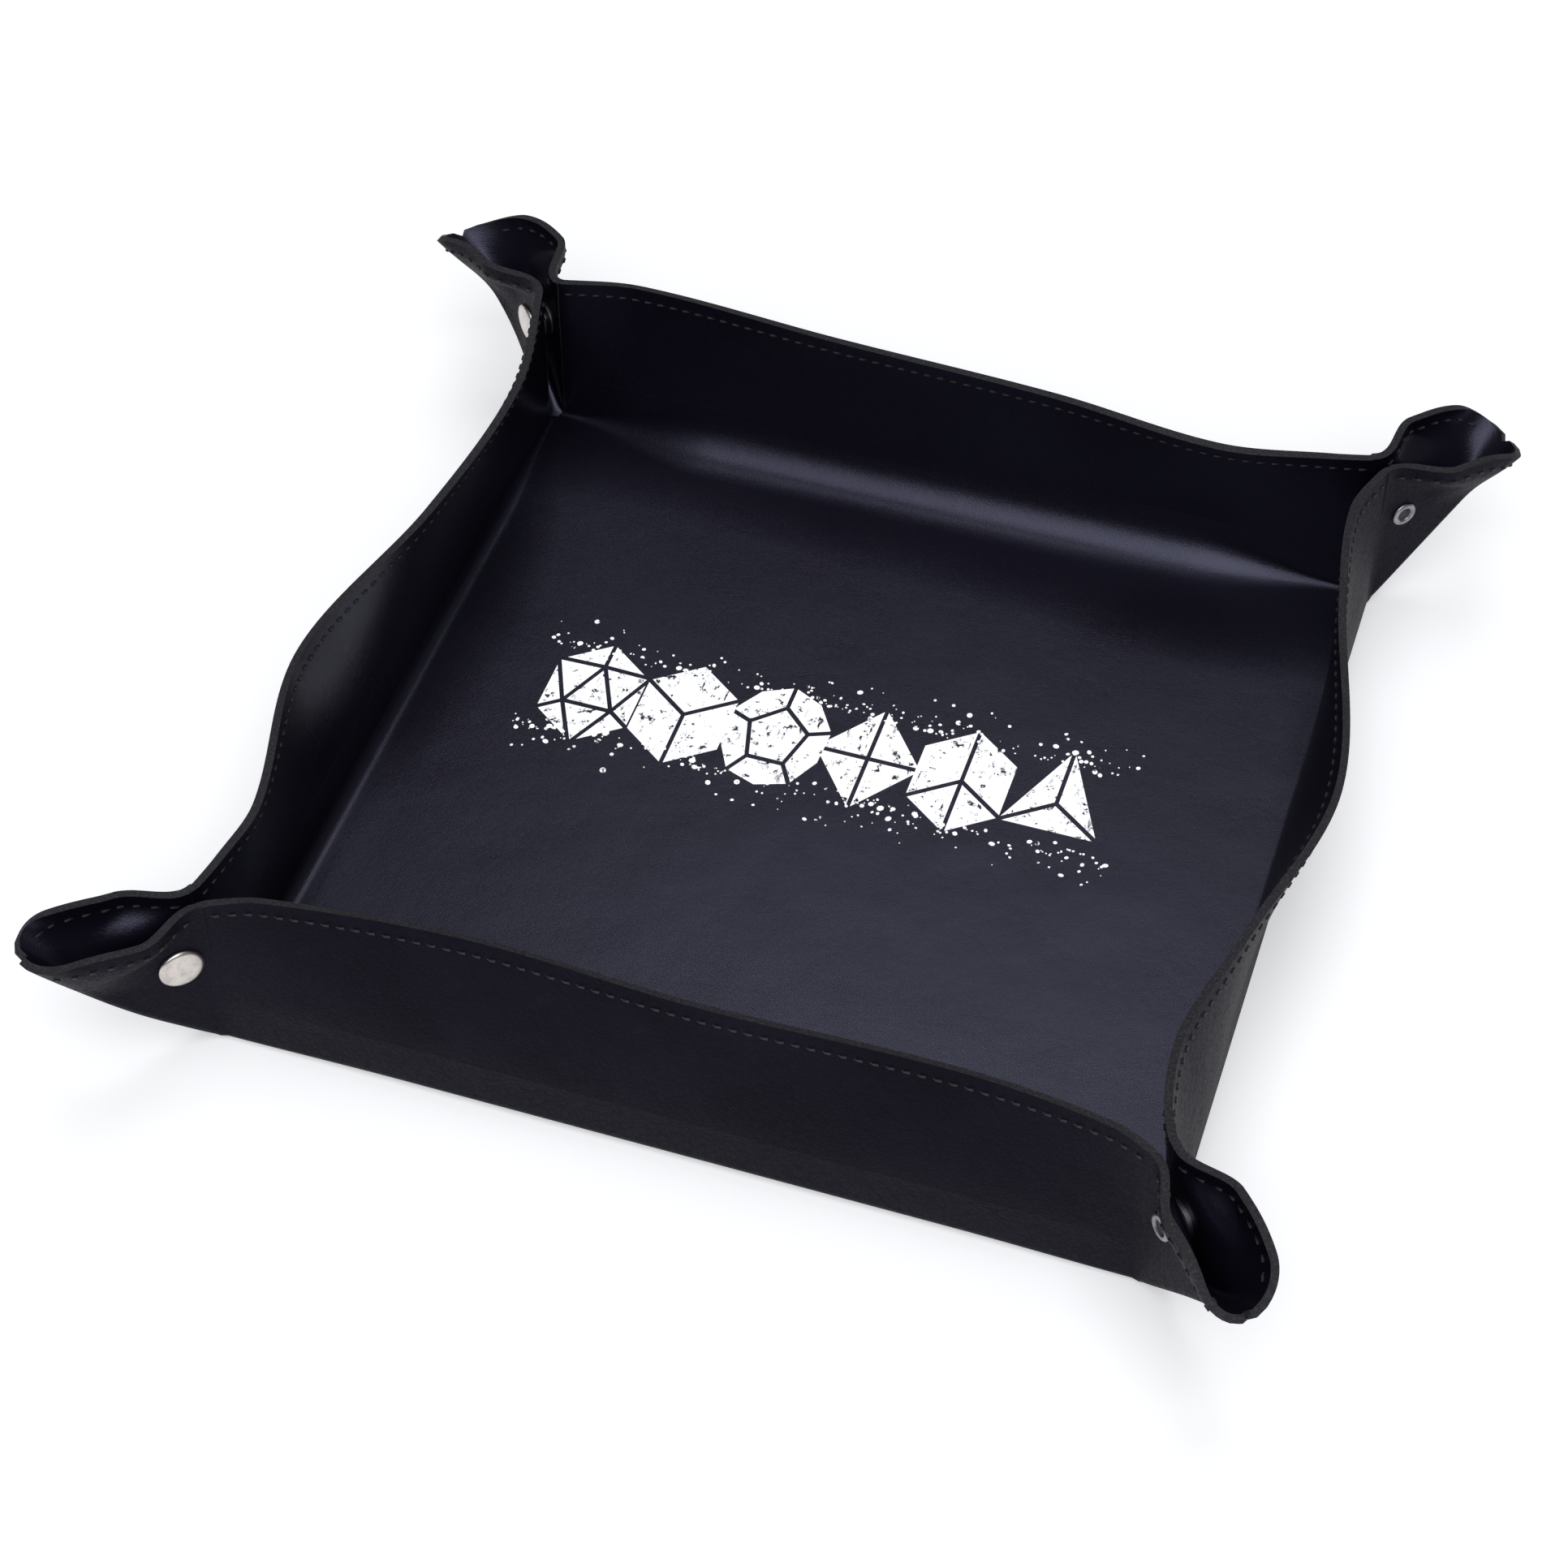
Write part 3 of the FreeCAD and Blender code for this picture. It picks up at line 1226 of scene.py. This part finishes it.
@dataclass
class SnapFaces:
    """The parts of the snaps that show outside the ears: domed caps and ringed eyelets."""

    form: SheetForm
    bright: bpy.types.Material
    dark: bpy.types.Material
    # near-black metal for each eyelet's middle: painted shade standing in for a dark hole over a
    # closed dimple
    hollow: bpy.types.Material
    cap_radius: float = 5.0 * MM
    cap_steps: tuple = ((0.22, 0.34), (0.55, 0.26), (1.1, 0.22), (1.4, 0.12), (1.0, 0.03))
    eyelet_radius: float = 3.1 * MM
    eyelet_steps: tuple = ((0.3, 0.32), (0.45, 0.10), (0.4, -0.08), (0.35, -0.42), (0.5, -0.1))
    # faces of the eyelet within this radius get the near-black metal, painted shade of a hole
    hollow_radius: float = 1.75 * MM
    rim_depth: float = 0.36 * MM

    def disc(self, name: str, radius: float, steps: Sequence[tuple]) -> bpy.types.Object:
        """Model a turned disc along +Z from a cylinder, by insets that rise or sink in turn.

        Args:
            name: the disc's name.
            radius: the disc's outer radius.
            steps: the inset and rise of each step.

        Returns:
            The new object.
        """
        deselect_all()
        bpy.ops.mesh.primitive_cylinder_add(vertices=48, radius=radius, depth=self.rim_depth,
                                            location=(0, 0, self.rim_depth / 2))
        item = bpy.context.object
        item.name = name
        bpy.ops.object.transform_apply(location=True, rotation=True, scale=True)
        for face in item.data.polygons:
            face.select = face.normal.z > 0.9
        bpy.ops.object.mode_set(mode="EDIT")
        bpy.ops.mesh.select_mode(type="FACE")
        for width, rise in steps:
            bpy.ops.mesh.inset(thickness=width * MM)
            bpy.ops.transform.translate(value=(0, 0, rise * MM))
        bpy.ops.mesh.poke()
        bpy.ops.object.mode_set(mode="OBJECT")
        round_over = item.modifiers.new("round_over", "BEVEL")
        round_over.width = 0.09 * MM
        round_over.segments = 2
        round_over.limit_method = "ANGLE"
        round_over.angle_limit = math.radians(35)
        bpy.ops.object.modifier_apply(modifier=round_over.name)
        bpy.ops.object.shade_smooth_by_angle(angle=math.radians(50))
        return item

    def seat(self, item: bpy.types.Object, quarter: int, sign: float) -> None:
        """Put a disc on its ear, on the cap's side (1) or the stud's side (-1).

        Args:
            item: the disc.
            quarter: quarter turns from the front right corner.
            sign: the side, 1 or -1.
        """
        tray = self.form.tray
        turn = turn_quarters(quarter)
        spot = turn @ self.form.from_ear(tray.snap_out, sign * (tray.cap_face + 0.01 * MM),
                                         tray.snap_up)
        out = turn @ (Vector((1, 1, 0)) * sign)
        item.data.transform(frame_at(spot, Vector((0, 0, 1)), out))

    def build(self) -> None:
        """Make a cap and an eyelet for every ear."""
        for quarter, corner in enumerate(CORNERS):
            after = WALLS[(quarter + 1) % 4]
            cap = self.disc("cap_" + corner, self.cap_radius, self.cap_steps)
            cap.data.materials.append(self.bright)
            self.seat(cap, quarter, 1.0)
            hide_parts("snap_" + corner + "_cap")
            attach(cap, "flap_" + after + "_cap")
            eyelet = self.disc("eyelet_" + corner, self.eyelet_radius, self.eyelet_steps)
            eyelet.data.materials.append(self.dark)
            # the eyelet's middle gets near-black metal: painted shade of a hole, over a closed
            # dimple
            eyelet.data.materials.append(self.hollow)
            for face in eyelet.data.polygons:
                if face.center.xy.length < self.hollow_radius and face.center.z > 0.0:
                    face.material_index = 1
            self.seat(eyelet, quarter, -1.0)
            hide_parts("snap_" + corner + "_eyelet")
            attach(eyelet, "flap_" + WALLS[quarter] + "_stud")
            LOG.info("set the snap of the %s ear", corner)


# ---------------------------------------------------------------- floor print


class Die(Enum):
    """The dice drawn in the floor print, by their number of faces."""

    FOUR = 4
    SIX = 6
    EIGHT = 8
    TEN = 10
    TWELVE = 12
    TWENTY = 20


@dataclass
class FloorPrint:
    """A worn white row of dice shapes on the liner, with ink specks round it."""

    tray: TrayFrame
    ink: bpy.types.Material
    middle_x: float = -4.5 * MM
    middle_y: float = 14.5 * MM
    span: float = 134.0 * MM
    radius: float = 13.2 * MM
    stretch: float = 1.27
    line: float = 1.0 * MM
    depth: float = 0.06 * MM
    specks: int = 420
    seed: int = 11

    def select_edges(self, item: bpy.types.Object, test: Callable[[Vector, Vector], bool]) -> None:
        """Select the edges whose two ends, from the mesh's middle, pass a test.

        Args:
            item: the object in edit mode.
            test: a test of the two end points.
        """
        bpy.ops.object.mode_set(mode="OBJECT")
        for part in (item.data.polygons, item.data.edges, item.data.vertices):
            part.foreach_set("select", [False] * len(part))
        for edge in item.data.edges:
            a, b = (item.data.vertices[i].co for i in edge.vertices)
            edge.select = test(a, b)
        bpy.ops.object.mode_set(mode="EDIT")
        bpy.ops.mesh.select_mode(type="EDGE")

    def drop_spokes(self, item: bpy.types.Object, angles: Sequence[int]) -> None:
        """Dissolve the spokes that run from the middle towards some angles in degrees.

        Args:
            item: the object in edit mode.
            angles: the directions in degrees.
        """

        def spoke(a: Vector, b: Vector) -> bool:
            """Tell whether an edge is one of the spokes."""
            inner, outer = sorted((a, b), key=lambda v: v.length)
            turned = round(math.degrees(math.atan2(outer.y, outer.x))) % 360
            return inner.length < 0.1 * self.radius and turned in angles

        self.select_edges(item, spoke)
        bpy.ops.mesh.dissolve_edges(use_verts=False)

    def push_middles(self, item: bpy.types.Object, size: float, times: float) -> None:
        """Cut the outline's edges in half and push the new corners outward.

        Args:
            item: the object in edit mode.
            size: the outline's radius.
            times: how much further out they go.
        """
        self.select_edges(item, lambda a, b: min(a.length, b.length) > 0.97 * size)
        bpy.ops.mesh.subdivide(number_cuts=1)
        bpy.ops.object.mode_set(mode="OBJECT")
        corners = set()
        for edge in item.data.edges:
            if edge.select:
                corners.update(edge.vertices)
        middles = [i for i in corners if item.data.vertices[i].co.length < 0.97 * size]
        for part in (item.data.polygons, item.data.edges, item.data.vertices):
            part.foreach_set("select", [False] * len(part))
        for i in middles:
            item.data.vertices[i].select = True
        bpy.ops.object.mode_set(mode="EDIT")
        bpy.ops.mesh.select_mode(type="VERT")
        bpy.ops.transform.resize(value=(times, times, 1.0), center_override=(0, 0, 0))

    def outline(self, die: Die) -> bpy.types.Object:
        """Model the flat facets of a die as seen from one corner or face.

        Args:
            die: which die.

        Returns:
            The new object, still in edit mode.
        """
        corners = {Die.FOUR: 3, Die.SIX: 6, Die.EIGHT: 4, Die.TEN: 6, Die.TWELVE: 5,
                   Die.TWENTY: 3}[die]
        size = self.radius * {Die.FOUR: 1.08, Die.TWELVE: 0.56, Die.TWENTY: 0.52}.get(die, 1.0)
        deselect_all()
        bpy.ops.mesh.primitive_circle_add(vertices=corners, radius=size, fill_type="NGON")
        item = bpy.context.object
        bpy.ops.object.mode_set(mode="EDIT")
        bpy.ops.mesh.select_all(action="SELECT")
        if die in (Die.TWELVE, Die.TWENTY):
            times = self.radius / size
            self.select_edges(item, lambda a, b: True)
            scale = {"value": (times, times, 1.0), "center_override": (0, 0, 0)}
            bpy.ops.mesh.extrude_edges_move()
            bpy.ops.transform.resize(**scale)
            if die is Die.TWELVE:
                self.push_middles(item, self.radius, 1.2)
            else:
                self.push_middles(item, self.radius, 2.0)
                bpy.ops.mesh.select_all(action="SELECT")
                bpy.ops.mesh.quads_convert_to_tris(ngon_method="BEAUTY")
        else:
            bpy.ops.mesh.poke()
        if die is Die.SIX:
            self.drop_spokes(item, (90, 210, 330))
        if die is Die.TEN:
            self.drop_spokes(item, (30, 150))
        return item

    def facets(self, die: Die, x: float) -> bpy.types.Object:
        """Model one die of the print: facets parted by thin lines, at its place in the row.

        Args:
            die: which die.
            x: the die's place in the row.

        Returns:
            The new object.
        """
        item = self.outline(die)
        item.name = "print_die_" + str(die.value)
        bpy.ops.object.mode_set(mode="EDIT")
        bpy.ops.mesh.select_mode(type="FACE")
        bpy.ops.mesh.select_all(action="SELECT")
        bpy.ops.mesh.normals_make_consistent(inside=False)
        bpy.ops.mesh.inset(thickness=self.line / 2, use_individual=True, use_boundary=True)
        bpy.ops.mesh.select_all(action="INVERT")
        bpy.ops.mesh.delete(type="FACE")
        bpy.ops.mesh.select_all(action="SELECT")
        move = {"value": (0, 0, self.depth)}
        bpy.ops.mesh.extrude_region_move(TRANSFORM_OT_translate=move)
        bpy.ops.mesh.select_all(action="SELECT")
        bpy.ops.mesh.normals_make_consistent(inside=False)
        bpy.ops.transform.resize(value=(1.0, self.stretch, 1.0), center_override=(0, 0, 0))
        bpy.ops.object.mode_set(mode="OBJECT")
        item.data.transform(Matrix.Translation((x, self.middle_y, self.tray.thick)))
        return item

    def splatter(self, rng: random.Random) -> bpy.types.Object:
        """Scatter small ink specks about the row, closest to its edges.

        Args:
            rng: the seeded random source.

        Returns:
            The new object.
        """
        deselect_all()
        bpy.ops.mesh.primitive_circle_add(vertices=7, radius=1.0, fill_type="NGON")
        dot = bpy.context.object
        bpy.ops.object.mode_set(mode="EDIT")
        move = {"value": (0, 0, 1.0)}
        bpy.ops.mesh.extrude_region_move(TRANSFORM_OT_translate=move)
        bpy.ops.mesh.select_all(action="SELECT")
        bpy.ops.mesh.normals_make_consistent(inside=False)
        bpy.ops.object.mode_set(mode="OBJECT")
        places = []
        high = self.radius * self.stretch
        for _ in range(self.specks):
            x = self.middle_x + self.span * rng.uniform(-0.53, 0.53)
            reach = high * (0.72 + min(0.55, rng.expovariate(5.5)))
            y = self.middle_y + reach * rng.choice((-1.0, 1.0)) + rng.uniform(-1.5, 1.5) * MM
            size = (0.14 + min(0.62, rng.expovariate(5.0))) * MM
            wide = size * rng.uniform(0.7, 1.3)
            turn = Matrix.Rotation(rng.uniform(0, math.pi), 4, "Z")
            scale = Matrix.Diagonal((wide, size, self.depth, 1.0))
            places.append(Matrix.Translation((x, y, self.tray.thick)) @ turn @ scale)
        item = copies(dot, "print_specks", places)
        bpy.data.objects.remove(dot)
        return item

    def build(self) -> None:
        """Print the row and its specks."""
        rng = random.Random(self.seed)
        pieces = [self.splatter(rng)]
        row = (Die.TWENTY, Die.SIX, Die.TWELVE, Die.EIGHT, Die.TEN, Die.FOUR)
        step = self.span / len(row)
        for i, die in enumerate(row):
            x = self.middle_x + step * (i - (len(row) - 1) / 2)
            pieces.append(self.facets(die, x))
        for item in pieces:
            item.data.materials.clear()
            item.data.materials.append(self.ink)
            item.data.polygons.foreach_set("use_smooth", [False] * len(item.data.polygons))
            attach(item, "base")
            LOG.info("printed %s", item.name)


# ---------------------------------------------------------------- stage and camera


@dataclass
class Studio:
    """Camera, pale floor and soft light."""

    azimuth: float = 18.15
    elevation: float = 47.85
    distance: float = 0.805
    lens: float = 81.07
    target: tuple = (-0.0096, 0.0027, 0.0)
    light_tint: tuple = (0.94, 0.96, 1.0)

    def camera(self) -> None:
        """Place the camera at its viewing angle."""
        a, e = math.radians(self.azimuth), math.radians(self.elevation)
        back = Vector((math.sin(a) * math.cos(e), -math.cos(a) * math.cos(e), math.sin(e)))
        data = bpy.data.cameras.new("camera")
        data.lens = self.lens
        data.sensor_width = 36.0
        data.clip_start = 0.01
        item = bpy.data.objects.new("camera", data)
        item.location = Vector(self.target) + back * self.distance
        item.rotation_mode = "QUATERNION"
        item.rotation_quaternion = (-back).to_track_quat("-Z", "Y")
        bpy.context.scene.collection.objects.link(item)
        bpy.context.scene.camera = item

    def softbox(self, name: str, azimuth: float, elevation: float, far: float, size: tuple,
                radiance: float) -> None:
        """Hang an area light that faces the tray.

        Args:
            name: the light's name.
            azimuth: its direction round the tray, in degrees.
            elevation: its height angle, in degrees.
            far: its distance in metres.
            size: its width and height.
            radiance: its brightness for its area.
        """
        a, e = math.radians(azimuth), math.radians(elevation)
        place = Vector((math.sin(a) * math.cos(e), -math.cos(a) * math.cos(e), math.sin(e))) * far
        data = bpy.data.lights.new(name, "AREA")
        data.shape = "RECTANGLE"
        data.size, data.size_y = size
        data.energy = radiance * math.pi * size[0] * size[1]
        data.color = self.light_tint
        item = bpy.data.objects.new(name, data)
        item.location = place
        item.rotation_mode = "QUATERNION"
        item.rotation_quaternion = (-place).to_track_quat("-Z", "Y")
        bpy.context.scene.collection.objects.link(item)

    def build(self) -> None:
        """Set the whole stage."""
        self.camera()
        deselect_all()
        bpy.ops.mesh.primitive_plane_add(size=30.0, location=(0, 0, 0))
        floor = bpy.context.object
        floor.name = "stage_floor"
        floor.data.materials.append(PaleFloor().material())
        self.softbox("overhead", 188.0, 70.5, 2.2, (1.0, 1.5), 2.65)
        self.softbox("front_fill", 16.0, 56.0, 2.4, (2.2, 2.3), 3.1)
        world = bpy.data.worlds.new("studio")
        world.use_nodes = True
        back = world.node_tree.nodes["Background"]
        back.inputs["Color"].default_value = (1.0, 1.0, 1.0, 1.0)
        back.inputs["Strength"].default_value = 0.14
        bpy.context.scene.world = world
        bpy.context.scene.view_settings.view_transform = "Standard"
        LOG.info("set the stage")


def main() -> None:
    """Build the tray piece by piece."""
    logging.basicConfig(level=logging.INFO, format="%(name)s: %(message)s")
    Studio().build()
    tray = TrayFrame.measured()
    form = SheetForm(tray, folds=FOLD_RADII, bows=WALL_BOWS, leans=EAR_LEANS, swells=EAR_SWELLS)
    skins = {Layer.OUTER: PebbledLeatherette().material(), Layer.LINER: SatinLiner().material()}
    maker = SheetMaker(form, skins, CutEdge().material())
    maker.floor()
    for quarter in range(4):
        maker.wall(quarter)
        maker.ear(quarter)
    nickel = SnapMetal("satin_nickel", (0.66, 0.61, 0.57), (0.50, 0.46, 0.43), 0.32).material()
    dark = SnapMetal("dark_nickel", (0.30, 0.30, 0.31), (0.20, 0.20, 0.21), 0.36).material()
    # dark steel for the sockets and studs inside the ears: painted shade, darkened so they sit as
    # dark as the shaded inside of the ear
    painted_shade_steel = SnapMetal("snap_steel", (0.17, 0.17, 0.18), (0.11, 0.11, 0.12), 0.42).material()
    # near-black metal for the eyelets' middles: painted shade of a hole
    hollow = SnapMetal("snap_hollow", (0.055, 0.055, 0.060), (0.030, 0.030, 0.034), 0.5).material()
    Seams(form, WaxedThread().material()).build()
    SnapFaces(form, nickel, dark, hollow).build()
    FloorPrint(tray, WornInk().material()).build()
    # the CAD sockets and studs take the darkened steel, painted shade inside the ears
    for node, item in frame["nodes"].items():
        if node.startswith("snap") and not item.hide_render:
            item.data.materials.clear()
            item.data.materials.append(painted_shade_steel)


if __name__ == "__main__":
    main()
